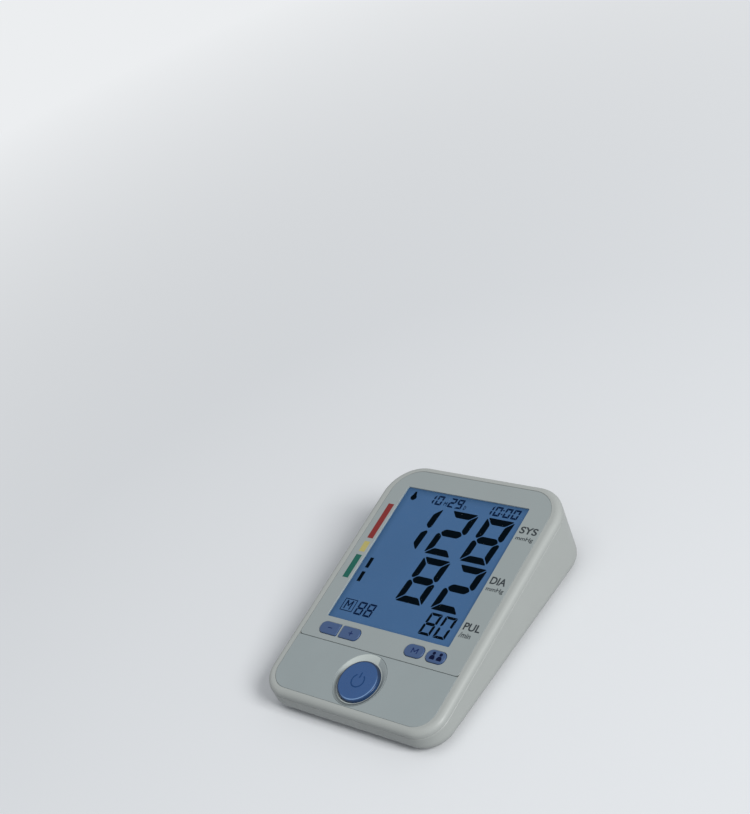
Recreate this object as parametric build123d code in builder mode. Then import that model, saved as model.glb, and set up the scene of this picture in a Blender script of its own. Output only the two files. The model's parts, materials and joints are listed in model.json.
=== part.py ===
from build123d import *
import os
from math import cos, radians, sin, tan

# Desktop upper-arm blood pressure monitor. Millimetres, +Z up, user side -Y, user's right +X.
# The origin is on the table, under the middle of the case.
# "Depth" is measured square to the sloping face, inwards. "Slope" positions (s) run up the face.

# ---- case ----
base_width = 108.6
base_length = 142.4
base_shift = -0.5
foot_height = 1.5
face_height = 26.1
face_angle = 9.0
draft = 1.8
wall = 2.0
front_corner = 14.0
rear_corner = 19.0
rim_radius = 3.0
base_radius = 5.0
seam_depth = 3.7
seam_groove = 0.25
stock_height = 50.0

# ---- panels set into the face ----
panel_half_width = 50.0
panel_low = -69.6
panel_high = 68.6
panel_split = -39.4
panel_front_corner = 11.0
panel_rear_corner = 15.5
panel_thickness = 1.5
panel_gap = 0.12
panel_bevel = 0.15
floor_depth = 3.0

# ---- display ----
window_left = -40.4
window_right = 36.6
window_low = -26.1
window_high = 57.5
window_corner = 0.8
lens_lip = 1.5
lens_lip_depth = 0.8
polariser_depth = 1.6
polariser_thickness = 0.2
glass_thickness = 1.1
backlight_thickness = 2.0
holder_floor = 0.8
aperture_left = -44.0
aperture_right = 46.0
aperture_low = -37.6
aperture_high = 60.5

# ---- board and keys ----
board_depth = 7.2
board_thickness = 1.2
board_bottom = board_depth + board_thickness
board_high = 2.0
key_height = 6.8
key_end_radius = 3.1
key_meeting_radius = 0.6
key_slope = -32.7
key_proud = 0.5
key_gap = 0.15
key_lip = 0.6
key_seat = panel_thickness + 0.05
key_foot = key_seat + 0.8
key_edge = 0.5
key_travel = 0.5
key_spans = {"minus": (-40.0, -28.0), "plus": (-26.5, -14.4), "memory": (14.4, 25.6), "user": (27.4, 38.6)}
switch_size = 6.0
switch_height = 3.5
plunger_radius = 1.7
plunger_top = 2.9
plunger_length = 2.5

# ---- START button ----
start_slope = -55.4
start_radius = 11.2
start_depth = -0.7
start_edge = 0.6
start_top_wall = 1.6
dish_slope = -54.5
dish_radius = 14.1
dish_land = 0.3
dish_depth = 1.0
well_radius = 11.4

# ---- battery box ----
cell_diameter = 14.5
cell_length = 50.5
cell_pitch = 15.3
bay_left = -24.5
bay_right = 37.5
bay_front = 12.5
bay_rear = 68.0
bay_roof = 18.9
bay_wall = 1.5
door_rear = 65.5
door_gap = 0.25
door_thickness = 1.95
door_edge = door_rear - door_gap
door_pivot = (door_edge - door_thickness / 2, foot_height + door_thickness / 2)
contact_thickness = 0.4
cell_centre_height = foot_height + wall + 0.4 + cell_diameter / 2

# ---- pneumatics ----
air_height = 12.8
pump_x = -35.0
pump_radius = 8.5
pump_front = 24.0
pump_middle = 37.0
pump_rear = 58.0
cradle_ribs = (39.0, 53.5)
valve_x = -47.7
valve_width = 7.0
valve_front = 28.0
valve_rear = 46.0
valve_height = 9.5
valve_low = 5.0
valve_middle = valve_low + valve_height / 2
valve_lift = 0.8
socket_y = 12.0
socket_bore = 2.5
socket_bore_length = 8.0
case_side = base_width / 2 + (air_height - foot_height) * tan(radians(draft))
socket_mouth = -case_side - 0.6
socket_end = -45.0
barb_radius = 1.5
barb_bore = 0.9
gallery_bore = 1.2
tube_radius = 2.5
valve_port_x = -41.0
sensor_x = -37.0
shaft_radius = 1.0
armature_slots = 5

# ---- sockets, speaker, feet and screws ----
jack_y = -16.0
jack_height = 9.6
jack_bore = 2.75
speaker_x = 8.0
speaker_y = -14.0
speaker_radius = 13.5
speaker_height = 6.0
foot_radius = 4.2
foot_recess = 0.5
feet = [(-42.0, -46.0), (42.0, -46.0), (-44.2, 51.5), (44.2, 51.5)]
front_posts = [(-45.0, -59.5), (45.0, -59.5)]
rear_posts = [(-42.5, 63.3), (42.5, 63.3)]
front_join = 8.0
rear_join = 18.0
post_radius = 3.0
counterbore_radius = 2.9
screw_radius = 1.3
board_screw_spots = [(-36.0, -61.0), (36.0, -61.0), (-43.0, -43.0), (43.0, -43.0)]
holder_screw_spots = [(-30.0, 64.2), (28.0, 64.2)]

face = Plane(
    origin=(0, 0, face_height),
    x_dir=(1, 0, 0),
    z_dir=(0, -sin(radians(face_angle)), cos(radians(face_angle))),
)
outward = Axis(face.origin, face.z_dir)


def below(depth):
    """Plane parallel to the face, this far inside it."""
    return face.offset(-depth)


def key_centre(name):
    """Place of a small key across the face."""
    return sum(key_spans[name]) / 2


def level(y, depth):
    """Height above the table of the surface at this depth, at this y."""
    return face_height + y * tan(radians(face_angle)) - depth / cos(radians(face_angle))


def slab(left, right, low, high, top, bottom, low_radius=0, high_radius=0, mode=Mode.ADD):
    """Plate parallel to the face between two depths, added to the open part."""
    with BuildSketch(below(top)) as outline:
        with Locations(((left + right) / 2, (low + high) / 2)):
            Rectangle(right - left, high - low)
        if low_radius:
            fillet(outline.vertices().group_by(Axis.Y)[0], low_radius)
        if high_radius:
            fillet(outline.vertices().group_by(Axis.Y)[-1], high_radius)
    extrude(outline.sketch, amount=top - bottom, mode=mode)


def key_slab(name, grow, top, bottom, mode=Mode.ADD):
    """Outline of a small key, grown by this much, between two depths. The pill's two keys meet square."""
    left, right = key_spans[name]
    with BuildSketch(below(top)) as outline:
        with Locations(((left + right) / 2, key_slope)):
            Rectangle(right - left + 2 * grow, key_height + 2 * grow)
        left_radius = key_meeting_radius if name == "plus" else key_end_radius
        right_radius = key_meeting_radius if name == "minus" else key_end_radius
        fillet(outline.vertices().group_by(Axis.X)[0], left_radius)
        fillet(outline.vertices().group_by(Axis.X)[-1], right_radius)
    extrude(outline.sketch, amount=top - bottom, mode=mode)


def disc(x, s, radius, top, bottom, mode=Mode.ADD):
    """Round plug square to the face between two depths, added to the open part."""
    with BuildSketch(below(top)) as outline:
        with Locations((x, s)):
            Circle(radius)
    extrude(outline.sketch, amount=top - bottom, mode=mode)


def block(x_span, y_span, z_span, mode=Mode.ADD):
    """Upright block between pairs of x, y and z, added to the open part."""
    with BuildSketch(Plane.XY.offset(z_span[0])) as outline:
        with Locations((sum(x_span) / 2, sum(y_span) / 2)):
            Rectangle(x_span[1] - x_span[0], y_span[1] - y_span[0])
    extrude(outline.sketch, amount=z_span[1] - z_span[0], mode=mode)


def post(x, y, radius, low, high, mode=Mode.ADD):
    """Upright cylinder, added to the open part."""
    with BuildSketch(Plane.XY.offset(low)) as outline:
        with Locations((x, y)):
            Circle(radius)
    extrude(outline.sketch, amount=high - low, mode=mode)


def rod_x(y, z, radius, start, end, mode=Mode.ADD):
    """Cylinder along X, added to the open part."""
    with BuildSketch(Plane(origin=(start, y, z), z_dir=(1, 0, 0))) as outline:
        Circle(radius)
    extrude(outline.sketch, amount=end - start, mode=mode)


def rod_y(x, z, radius, start, end, mode=Mode.ADD):
    """Cylinder along Y, added to the open part."""
    with BuildSketch(Plane(origin=(x, start, z), z_dir=(0, 1, 0))) as outline:
        Circle(radius)
    extrude(outline.sketch, amount=end - start, mode=mode)


def wedge(inset, depth, edge_radius, bottom_radius):
    """Solid of the case, drawn in by inset, with its face at this depth."""
    with BuildPart() as body:
        with BuildSketch(Plane.XY.offset(foot_height + inset)) as base:
            with Locations((0, base_shift)):
                Rectangle(base_width - 2 * inset, base_length - 2 * inset)
            fillet(base.vertices().group_by(Axis.Y)[0], front_corner - inset)
            fillet(base.vertices().group_by(Axis.Y)[-1], rear_corner - inset)
        extrude(amount=stock_height, taper=-draft)
        split(bisect_by=below(depth), keep=Keep.BOTTOM)
        fillet(body.faces().sort_by(Axis.Z)[-1].edges(), edge_radius)
        fillet(body.faces().sort_by(Axis.Z)[0].edges(), bottom_radius)
    return body.part


os.makedirs("parts", exist_ok=True)


def save(piece, name):
    """Label a finished piece and write it as its own STEP file."""
    piece.part.label = name
    export_step(piece.part, f"parts/{name}.step")


outer_case = wedge(0, 0, rim_radius, base_radius)
inner_case = wedge(wall, floor_depth, rim_radius - wall, base_radius - wall)
case_posts = [(x, y, front_join) for x, y in front_posts] + [(x, y, rear_join) for x, y in rear_posts]

# ---- housings ----
with BuildPart() as top_housing:
    add(outer_case)
    add(inner_case, mode=Mode.SUBTRACT)
    split(bisect_by=below(seam_depth), keep=Keep.TOP)
    chamfer(top_housing.faces().sort_by(outward)[0].outer_wire().edges(), seam_groove)
    slab(-panel_half_width, panel_half_width, panel_low, panel_high, 0, panel_thickness,
         panel_front_corner, panel_rear_corner, Mode.SUBTRACT)
    slab(aperture_left, aperture_right, aperture_low, aperture_high, panel_thickness, floor_depth,
         1.5, 1.5, Mode.SUBTRACT)
    disc(0, dish_slope, dish_radius + dish_land, 0, floor_depth)
    with BuildSketch(face):
        with Locations((0, dish_slope)):
            Circle(dish_radius)
    with BuildSketch(below(dish_depth)):
        with Locations((0, start_slope)):
            Circle(well_radius)
    loft(mode=Mode.SUBTRACT)
    disc(0, start_slope, well_radius, 0, floor_depth, Mode.SUBTRACT)
    for x, y, join in case_posts:
        post(x, y, post_radius, join, level(y, floor_depth - 0.7))
        post(x, y, 1.1, join, join + 5, Mode.SUBTRACT)
    for x, s in board_screw_spots:
        disc(x, s, 2.4, floor_depth - 0.3, board_depth)
        disc(x, s, 0.8, floor_depth + 0.2, board_depth, Mode.SUBTRACT)
    for x, s in holder_screw_spots:
        disc(x, s, 2.2, floor_depth - 0.3, 5.0)
        disc(x, s, 0.8, floor_depth - 0.5, 5.0, Mode.SUBTRACT)
save(top_housing, "top_housing")

with BuildPart() as bottom_housing:
    add(outer_case)
    add(inner_case, mode=Mode.SUBTRACT)
    split(bisect_by=below(seam_depth), keep=Keep.BOTTOM)
    chamfer(bottom_housing.faces().sort_by(outward)[-1].outer_wire().edges(), seam_groove)
    block((bay_left - bay_wall, bay_right + bay_wall), (bay_front - bay_wall, bay_rear + bay_wall),
          (foot_height + wall - 0.5, bay_roof + bay_wall))
    block((bay_left, bay_right), (bay_front, bay_rear), (foot_height + wall, bay_roof), Mode.SUBTRACT)
    for x, y, join in case_posts:
        post(x, y, counterbore_radius + 1.3, foot_height + wall - 0.5, join)
        post(x, y, 1.5, foot_height, join, Mode.SUBTRACT)
        post(x, y, counterbore_radius, foot_height - 1, join - 1.5, Mode.SUBTRACT)
    for rib in cradle_ribs:
        block((-43.9, bay_left - bay_wall + 0.5), (rib, rib + 1.5), (foot_height + wall - 0.5, 8.5))
    rod_y(pump_x, air_height, pump_radius + 0.1, pump_middle, pump_rear, Mode.SUBTRACT)
    block((-51.5, valve_x + 3.9), (31.0, 43.0), (foot_height + wall - 0.5, 5.0))
    block((-51.2, -42.0), (jack_y - 4, jack_y + 4), (foot_height + wall - 0.5, jack_height - 4.5))
    post(speaker_x, speaker_y, speaker_radius + 1.5, foot_height + wall - 0.5, 6.5)
    post(speaker_x, speaker_y, speaker_radius + 0.2, foot_height + wall, 6.5, Mode.SUBTRACT)
    with BuildSketch(Plane.XY.offset(foot_height)):
        with Locations((speaker_x, speaker_y)):
            with GridLocations(0, 3.4, 1, 5):
                SlotOverall(17, 1.6)
    extrude(amount=wall, mode=Mode.SUBTRACT)
    with BuildSketch(Plane.XY.offset(foot_height)):
        with Locations((0, -42)):
            RectangleRounded(54, 18, 2)
    extrude(amount=0.3, mode=Mode.SUBTRACT)
    block((bay_left - 1.25, bay_right + 1.25), (bay_front - 1.25, door_rear),
          (foot_height - 1, foot_height + wall), Mode.SUBTRACT)
    with BuildSketch(Plane.XY.offset(foot_height)):
        with Locations(*feet):
            Circle(foot_radius + 0.1)
    extrude(amount=foot_recess, mode=Mode.SUBTRACT)
    rod_x(socket_y, air_height, 5.1, -60, -50, Mode.SUBTRACT)
    rod_x(jack_y, jack_height, 4.4, -60, -50, Mode.SUBTRACT)
    add(outer_case, mode=Mode.INTERSECT)
save(bottom_housing, "bottom_housing")

with BuildPart() as rubber_feet:
    with BuildSketch(Plane.XY):
        with Locations(*feet):
            Circle(foot_radius)
    extrude(amount=foot_height + foot_recess)
    fillet(rubber_feet.faces().group_by(Axis.Z)[0].edges(), 0.6)
save(rubber_feet, "rubber_feet")

with BuildPart() as case_screws:
    for x, y, join in case_posts:
        post(x, y, 2.5, join - 3.3, join - 1.5)
        post(x, y, screw_radius - 0.25, join - 1.6, join + 4.5)
        post(x, y, 1.1, join - 3.4, join - 2.5, Mode.SUBTRACT)
save(case_screws, "case_screws")

# ---- panels on the face ----
with BuildPart() as display_panel:
    slab(-panel_half_width + panel_gap, panel_half_width - panel_gap, panel_split + panel_gap,
         panel_high - panel_gap, 0, panel_thickness, 2.0, panel_rear_corner - panel_gap)
    slab(window_left, window_right, window_low, window_high, 0, panel_thickness,
         window_corner, window_corner, Mode.SUBTRACT)
    slab(window_left - lens_lip - 0.1, window_right + lens_lip + 0.1, window_low - lens_lip - 0.1,
         window_high + lens_lip + 0.1, lens_lip_depth, panel_thickness, 1, 1, Mode.SUBTRACT)
    for name in key_spans:
        key_slab(name, key_gap, 0, panel_thickness, Mode.SUBTRACT)
    chamfer(display_panel.faces().sort_by(outward)[-1].edges(), panel_bevel)
save(display_panel, "display_panel")

with BuildPart() as window_lens:
    slab(window_left + 0.1, window_right - 0.1, window_low + 0.1, window_high - 0.1, 0, 1.45,
         window_corner, window_corner)
    slab(window_left - lens_lip, window_right + lens_lip, window_low - lens_lip, window_high + lens_lip,
         lens_lip_depth + 0.05, 1.45, 1, 1)
save(window_lens, "window_lens")

with BuildPart() as lower_fascia:
    slab(-panel_half_width + panel_gap, panel_half_width - panel_gap, panel_low + panel_gap,
         panel_split - panel_gap, 0, panel_thickness, panel_front_corner - panel_gap, 0)
    disc(0, dish_slope, dish_radius + dish_land + 0.1, 0, panel_thickness, Mode.SUBTRACT)
    chamfer(lower_fascia.faces().sort_by(outward)[-1].edges(), panel_bevel)
save(lower_fascia, "lower_fascia")

# ---- keys, their switches and the board ----
with BuildPart() as start_button:
    disc(0, start_slope, start_radius, start_depth, 3.9)
    fillet(start_button.faces().sort_by(outward)[-1].edges(), start_edge)
    disc(0, start_slope, start_radius + 1.1, floor_depth + 0.05, 3.9)
    disc(0, start_slope, start_radius - 1.5, start_depth + start_top_wall, 3.9, Mode.SUBTRACT)
    disc(0, start_slope, 2.5, start_depth + start_top_wall - 0.1, plunger_top)
save(start_button, "start_button")

for name in key_spans:
    with BuildPart() as key:
        key_slab(name, 0, -key_proud, key_seat)
        fillet(key.faces().sort_by(outward)[-1].edges(), key_edge)
        key_slab(name, key_lip, key_seat, key_foot)
        disc(key_centre(name), key_slope, plunger_radius, key_foot - 0.1, plunger_top)
    save(key, f"{name}_key")

switch_spots = {"start": (0, start_slope)}
for name in key_spans:
    switch_spots[name] = (key_centre(name), key_slope)

for name, (x, s) in switch_spots.items():
    with BuildPart() as plunger:
        disc(x, s, plunger_radius, plunger_top, plunger_top + plunger_length)
    save(plunger, f"{name}_switch_plunger")

with BuildPart() as switch_bodies:
    for x, s in switch_spots.values():
        slab(x - switch_size / 2, x + switch_size / 2, s - switch_size / 2, s + switch_size / 2,
             board_depth - switch_height, board_depth)
        disc(x, s, plunger_radius + 0.05, board_depth - switch_height, board_depth - 0.8, Mode.SUBTRACT)
save(switch_bodies, "switch_bodies")

with BuildPart() as main_board:
    slab(-46, 46, -49, board_high, board_depth, board_bottom)
    slab(-40, 40, -66, -48.5, board_depth, board_bottom)
    for x, s in board_screw_spots:
        disc(x, s, 1.1, board_depth, board_bottom, Mode.SUBTRACT)
save(main_board, "main_board")

with BuildPart() as board_screws:
    for x, s in board_screw_spots:
        disc(x, s, 1.9, board_bottom, board_bottom + 1.2)
        disc(x, s, 0.75, board_depth - 3.5, board_bottom + 0.1)
save(board_screws, "board_screws")

with BuildPart() as microcontroller:
    slab(16, 28, -46, -34, board_bottom, board_bottom + 1.6, 0.4, 0.4)
save(microcontroller, "microcontroller")

with BuildPart() as board_components:
    for x, s in ((-24, -46), (-15, -46)):
        disc(x, s, 3.2, board_bottom, board_bottom + 5)
    slab(2, 13, -44, -40, board_bottom, board_bottom + 3)
    slab(31, 36, -28, -20, board_bottom, board_bottom + 1.7)
    slab(-14, -8, -4, 0, board_bottom, board_bottom + 1.5)
save(board_components, "board_components")

# ---- display stack ----
glass_top = polariser_depth + polariser_thickness
glass_middle = glass_top + glass_thickness
glass_bottom = glass_middle + glass_thickness
backlight_top = glass_bottom + polariser_thickness
backlight_bottom = backlight_top + backlight_thickness
holder_bottom = backlight_bottom + 0.1 + holder_floor

with BuildPart() as front_polariser:
    slab(-42.7, 38.5, -27.8, 59.3, polariser_depth, glass_top)
save(front_polariser, "front_polariser")

with BuildPart() as lcd_front_glass:
    slab(-43.0, 44.5, -28.0, 59.5, glass_top, glass_middle)
save(lcd_front_glass, "lcd_front_glass")

with BuildPart() as lcd_rear_glass:
    slab(-43.0, 40.8, -28.0, 59.5, glass_middle, glass_bottom)
save(lcd_rear_glass, "lcd_rear_glass")

with BuildPart() as rear_polariser:
    slab(-42.7, 38.5, -27.8, 59.3, glass_bottom, backlight_top)
save(rear_polariser, "rear_polariser")

with BuildPart() as backlight:
    slab(-42.8, 40.0, -27.9, 59.4, backlight_top, backlight_bottom)
save(backlight, "backlight")

with BuildPart() as lcd_holder:
    slab(-45.0, 46.5, -29.6, 61.3, floor_depth + 0.1, holder_bottom, 1, 11)
    for x, s in holder_screw_spots:
        slab(x - 4, x + 4, 58, s + 2.6, 5.0, 5.0 + holder_floor, 0, 2)
    slab(-43.2, 44.7, -28.2, 59.7, floor_depth + 0.1, holder_bottom - holder_floor, mode=Mode.SUBTRACT)
    slab(41.1, 44.0, -24.2, 0.2, floor_depth + 0.1, holder_bottom, mode=Mode.SUBTRACT)
    for x, s in holder_screw_spots:
        disc(x, s, 1.0, 5.0, 5.0 + holder_floor, Mode.SUBTRACT)
save(lcd_holder, "lcd_holder")

with BuildPart() as holder_screws:
    for x, s in holder_screw_spots:
        disc(x, s, 1.9, 5.0 + holder_floor, 7.0)
        disc(x, s, 0.75, floor_depth, 5.9)
save(holder_screws, "holder_screws")

with BuildPart() as zebra_strip:
    slab(41.3, 43.8, -24, 0, glass_middle, board_depth)
save(zebra_strip, "zebra_strip")

# ---- pressure sensor, pump, valve and air lines ----
with BuildPart() as pressure_sensor:
    slab(sensor_x - 4, sensor_x + 4, -13, -4, board_bottom, board_bottom + 4.5)
    rod_y(sensor_x, air_height, barb_radius, -6, 4)
    rod_y(sensor_x, air_height, barb_bore, -3, 4, Mode.SUBTRACT)
save(pressure_sensor, "pressure_sensor")

with BuildPart() as pump_head:
    block((pump_x - pump_radius, pump_x + pump_radius), (pump_front, pump_middle),
          (air_height - pump_radius, air_height + pump_radius))
    fillet(pump_head.edges().filter_by(Axis.Y), 2)
    rod_y(pump_x, air_height, 6.5, pump_front + 5, pump_middle, Mode.SUBTRACT)
    rod_y(pump_x, air_height, barb_radius, pump_front - 4, pump_front + 1)
    rod_y(pump_x, air_height, barb_bore, pump_front - 4, pump_front + 3, Mode.SUBTRACT)
save(pump_head, "pump_head")

with BuildPart() as pump_motor_can:
    rod_y(pump_x, air_height, pump_radius, pump_middle, pump_rear)
    fillet(pump_motor_can.faces().sort_by(Axis.Y)[-1].edges(), 1)
    rod_y(pump_x, air_height, pump_radius - 1, pump_middle + 1, pump_rear - 1, Mode.SUBTRACT)
    rod_y(pump_x, air_height, shaft_radius + 0.05, pump_middle, pump_middle + 1, Mode.SUBTRACT)
save(pump_motor_can, "pump_motor_can")

with BuildPart() as pump_shaft:
    rod_y(pump_x, air_height, shaft_radius, pump_middle - 6, pump_rear - 1.5)
save(pump_shaft, "pump_shaft")

with BuildPart() as pump_armature:
    rod_y(pump_x, air_height, 6, pump_middle + 3, pump_rear - 4)
    for turn in range(armature_slots):
        angle = radians(360 * turn / armature_slots)
        rod_y(pump_x + 6 * cos(angle), air_height + 6 * sin(angle), 1.2, pump_middle + 3, pump_rear - 4,
              Mode.SUBTRACT)
    rod_y(pump_x, air_height, shaft_radius, pump_middle + 3, pump_rear - 4, Mode.SUBTRACT)
save(pump_armature, "pump_armature")

with BuildPart() as pump_eccentric:
    rod_y(pump_x, air_height, 3.5, pump_middle - 5, pump_middle - 1)
    rod_y(pump_x, air_height, 4.2, pump_middle - 2, pump_middle - 1)
    rod_y(pump_x + 3, air_height, 1.4, pump_middle - 7.5, pump_middle - 2)
    rod_y(pump_x, air_height, shaft_radius, pump_middle - 6, pump_middle - 1, Mode.SUBTRACT)
save(pump_eccentric, "pump_eccentric")

with BuildPart() as pump_foam:
    for start in (29.0, 45.0):
        block((pump_x - 6, pump_x + 6), (start, start + 5), (foot_height + wall, air_height - pump_radius))
save(pump_foam, "pump_foam")

with BuildPart() as valve_frame:
    block((valve_x - valve_width / 2, valve_x + valve_width / 2), (valve_front, valve_rear),
          (valve_low, valve_low + valve_height))
    block((valve_x - 2.9, valve_x + 2.9), (valve_front + 3, valve_rear - 0.8),
          (valve_low, valve_low + valve_height), Mode.SUBTRACT)
    rod_y(valve_x, valve_middle, 1.05, valve_rear - 1, valve_rear, Mode.SUBTRACT)
    rod_y(valve_x, valve_middle, barb_radius, valve_front - 4, valve_front + 1)
    rod_y(valve_x, valve_middle, barb_bore, valve_front - 4, valve_front + 3, Mode.SUBTRACT)
save(valve_frame, "valve_frame")

with BuildPart() as valve_coil:
    rod_y(valve_x, valve_middle, 2.9, valve_front + 6, valve_rear - 1.5)
    rod_y(valve_x, valve_middle, 1.05, valve_front + 6, valve_rear - 1.5, Mode.SUBTRACT)
save(valve_coil, "valve_coil")

with BuildPart() as valve_plunger:
    rod_y(valve_x, valve_middle, 1.0, valve_front + 4.2 + valve_lift, valve_rear + 0.5 + valve_lift)
save(valve_plunger, "valve_plunger")

with BuildPart() as valve_seal:
    rod_y(valve_x, valve_middle, 1.8, valve_front + 3.05 + valve_lift, valve_front + 4.2 + valve_lift)
save(valve_seal, "valve_seal")

with BuildPart() as air_socket:
    rod_x(socket_y, air_height, 5.0, socket_mouth, socket_end)
    fillet(air_socket.faces().sort_by(Axis.X)[0].edges(), 0.5)
    rod_x(socket_y, air_height, 6.5, -case_side + wall + 0.3, -case_side + wall + 1.5)
    rod_x(socket_y, air_height, socket_bore, socket_mouth, socket_mouth + socket_bore_length, Mode.SUBTRACT)
    rod_x(socket_y, air_height, barb_radius, socket_mouth, socket_end, Mode.SUBTRACT)
save(air_socket, "air_socket")

with BuildPart() as air_manifold:
    block((-43, -31), (socket_y - 2.5, socket_y + 2.5), (air_height - 2.5, air_height + 2.5))
    rod_x(socket_y, air_height, barb_radius, socket_mouth + socket_bore_length + 0.1, -42)
    rod_y(pump_x, air_height, barb_radius, socket_y, socket_y + 5.5)
    rod_y(valve_port_x, air_height, barb_radius, socket_y, socket_y + 4.2)
    rod_y(sensor_x, air_height, barb_radius, socket_y - 6.5, socket_y)
    rod_x(socket_y, air_height, gallery_bore, socket_mouth + socket_bore_length, -33, Mode.SUBTRACT)
    rod_y(pump_x, air_height, barb_bore, socket_y, socket_y + 5.5, Mode.SUBTRACT)
    rod_y(valve_port_x, air_height, barb_bore, socket_y, socket_y + 4.2, Mode.SUBTRACT)
    rod_y(sensor_x, air_height, barb_bore, socket_y - 6.5, socket_y, Mode.SUBTRACT)
save(air_manifold, "air_manifold")

with BuildPart() as pump_tube:
    rod_y(pump_x, air_height, tube_radius, socket_y + 2.6, pump_front - 0.1)
    rod_y(pump_x, air_height, barb_radius, socket_y + 2.6, pump_front - 0.1, Mode.SUBTRACT)
save(pump_tube, "pump_tube")

with BuildPart() as sensor_tube:
    rod_y(sensor_x, air_height, tube_radius, -1.5, socket_y - 2.6)
    rod_y(sensor_x, air_height, barb_radius, -1.5, socket_y - 2.6, Mode.SUBTRACT)
save(sensor_tube, "sensor_tube")

with BuildPart() as valve_tube:
    with BuildLine() as valve_path:
        FilletPolyline(
            (valve_port_x, socket_y + 2.6, air_height),
            (valve_port_x, socket_y + 6.2, air_height),
            (valve_x, socket_y + 10.2, valve_middle),
            (valve_x, valve_front - 0.1, valve_middle),
            radius=2.4,
        )
    with BuildSketch(valve_path.line ^ 0):
        Circle(tube_radius)
        Circle(barb_radius, mode=Mode.SUBTRACT)
    sweep()
save(valve_tube, "valve_tube")

# ---- power jack and speaker ----
with BuildPart() as power_jack:
    block((-51.0, -40.0), (jack_y - 4.5, jack_y + 4.5), (jack_height - 4.5, jack_height + 4.5))
    rod_x(jack_y, jack_height, 4.3, -case_side - 0.2, -50)
    rod_x(jack_y, jack_height, jack_bore, -case_side - 0.2, -44, Mode.SUBTRACT)
save(power_jack, "power_jack")

with BuildPart() as power_jack_pin:
    rod_x(jack_y, jack_height, 1.0, -case_side + 1, -44)
    fillet(power_jack_pin.faces().sort_by(Axis.X)[0].edges(), 0.5)
save(power_jack_pin, "power_jack_pin")

speaker_low = foot_height + wall
with BuildPart() as speaker_frame:
    post(speaker_x, speaker_y, speaker_radius, speaker_low, speaker_low + 4)
    post(speaker_x, speaker_y, speaker_radius - 1.5, speaker_low, speaker_low + 3.2, Mode.SUBTRACT)
save(speaker_frame, "speaker_frame")

with BuildPart() as speaker_cone:
    post(speaker_x, speaker_y, speaker_radius - 1.6, speaker_low + 1.2, speaker_low + 1.6)
    post(speaker_x, speaker_y, 4.5, speaker_low + 1.5, speaker_low + 2.6)
save(speaker_cone, "speaker_cone")

with BuildPart() as speaker_magnet:
    post(speaker_x, speaker_y, 7.0, speaker_low + 4, speaker_low + speaker_height)
save(speaker_magnet, "speaker_magnet")

# ---- battery box ----
cell_centres = [(bay_left + bay_right) / 2 + cell_pitch * (i - 1.5) for i in range(4)]
spring_length = bay_rear - bay_front - 2 * contact_thickness - cell_length

with BuildPart() as battery_door:
    block((bay_left - 1.0, bay_right + 1.0), (bay_front - 1.0, door_pivot[0]),
          (foot_height, foot_height + door_thickness))
    fillet(battery_door.edges().filter_by(Axis.Z).group_by(Axis.Y)[0], 0.8)
    rod_x(*door_pivot, door_thickness / 2, bay_left - 1.0, bay_right + 1.0)
    for x in (cell_centres[0] + cell_pitch / 2, cell_centres[3] - cell_pitch / 2):
        block((x - 2.5, x + 2.5), (door_rear - 2.2, door_edge), (door_pivot[1], 3.7))
        block((x - 2.5, x + 2.5), (door_rear - 2.2, door_rear + 1.2), (3.6, 4.7))
    with BuildSketch(Plane.XY.offset(foot_height)):
        with Locations(((bay_left + bay_right) / 2, bay_front + 5)):
            SlotOverall(16, 5)
    extrude(amount=0.8, mode=Mode.SUBTRACT)
save(battery_door, "battery_door")

with BuildPart() as batteries:
    for i, x in enumerate(cell_centres):
        can_start = bay_front + contact_thickness + (1.0 if i % 2 else spring_length)
        can_end = can_start + cell_length - 1.0
        rod_y(x, cell_centre_height, cell_diameter / 2, can_start, can_end)
        nub_start = can_start - 1.0 if i % 2 else can_end
        rod_y(x, cell_centre_height, 2.7, nub_start, nub_start + 1.0)
save(batteries, "batteries")

with BuildPart() as battery_contacts:
    for x in cell_centres:
        for start in (bay_front, bay_rear - contact_thickness):
            block((x - 6, x + 6), (start, start + contact_thickness),
                  (cell_centre_height - 6, cell_centre_height + 6))
save(battery_contacts, "battery_contacts")

wire_radius = 0.35
with BuildPart() as spring_coil:
    with BuildLine() as coil:
        Helix(pitch=1.2, height=spring_length - 2 * wire_radius, radius=4.0)
    with BuildSketch(coil.line ^ 0):
        Circle(wire_radius)
    sweep(is_frenet=True)

with BuildPart() as battery_springs:
    for i, x in enumerate(cell_centres):
        start = bay_rear - contact_thickness - spring_length if i % 2 else bay_front + contact_thickness
        seat = Plane(origin=(x, start + wire_radius, cell_centre_height), z_dir=(0, 1, 0))
        add(seat.location * spring_coil.part)
save(battery_springs, "battery_springs")

# ---- wires ----
lead_radius = 0.5


def lead(points, radius):
    """Wire along straight runs joined by arcs, added to the open part."""
    with BuildLine() as route:
        FilletPolyline(*points, radius=radius)
    with BuildSketch(route.line ^ 0) as section:
        Circle(lead_radius)
    sweep(section.sketch, path=route.line)


with BuildPart() as battery_wires:
    for x in (-19.0, -16.5):
        lead([
            (x, bay_front - bay_wall - 0.05, 14.0),
            (x, 7.5, 14.0),
            (x, 2.0, 13.2),
            (x, -1.0, level(-1.0, board_bottom) - 0.25),
        ], 1.8)
save(battery_wires, "battery_wires")

with BuildPart() as pump_wires:
    for rise in (1.6, 3.0):
        side = pump_x - (pump_radius**2 - rise**2) ** 0.5
        lead([
            (side - 0.3, 54.0, air_height + rise),
            (-46.5, 50.5, air_height + rise + 0.3),
            (-46.8, 38.0, air_height + rise + 1.2),
            (-46.2, 25.0, air_height + rise + 2.2),
            (-43.8, 17.0, air_height + rise + 2.5),
            (-43.6, 7.0, air_height + rise + 1.0),
            (-43.8, 1.5, air_height + rise + 0.4),
            (-43.0 + rise, rise - 3.1, level(rise - 3.1, board_bottom) - 0.4),
        ], 1.2)
save(pump_wires, "pump_wires")
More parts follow.
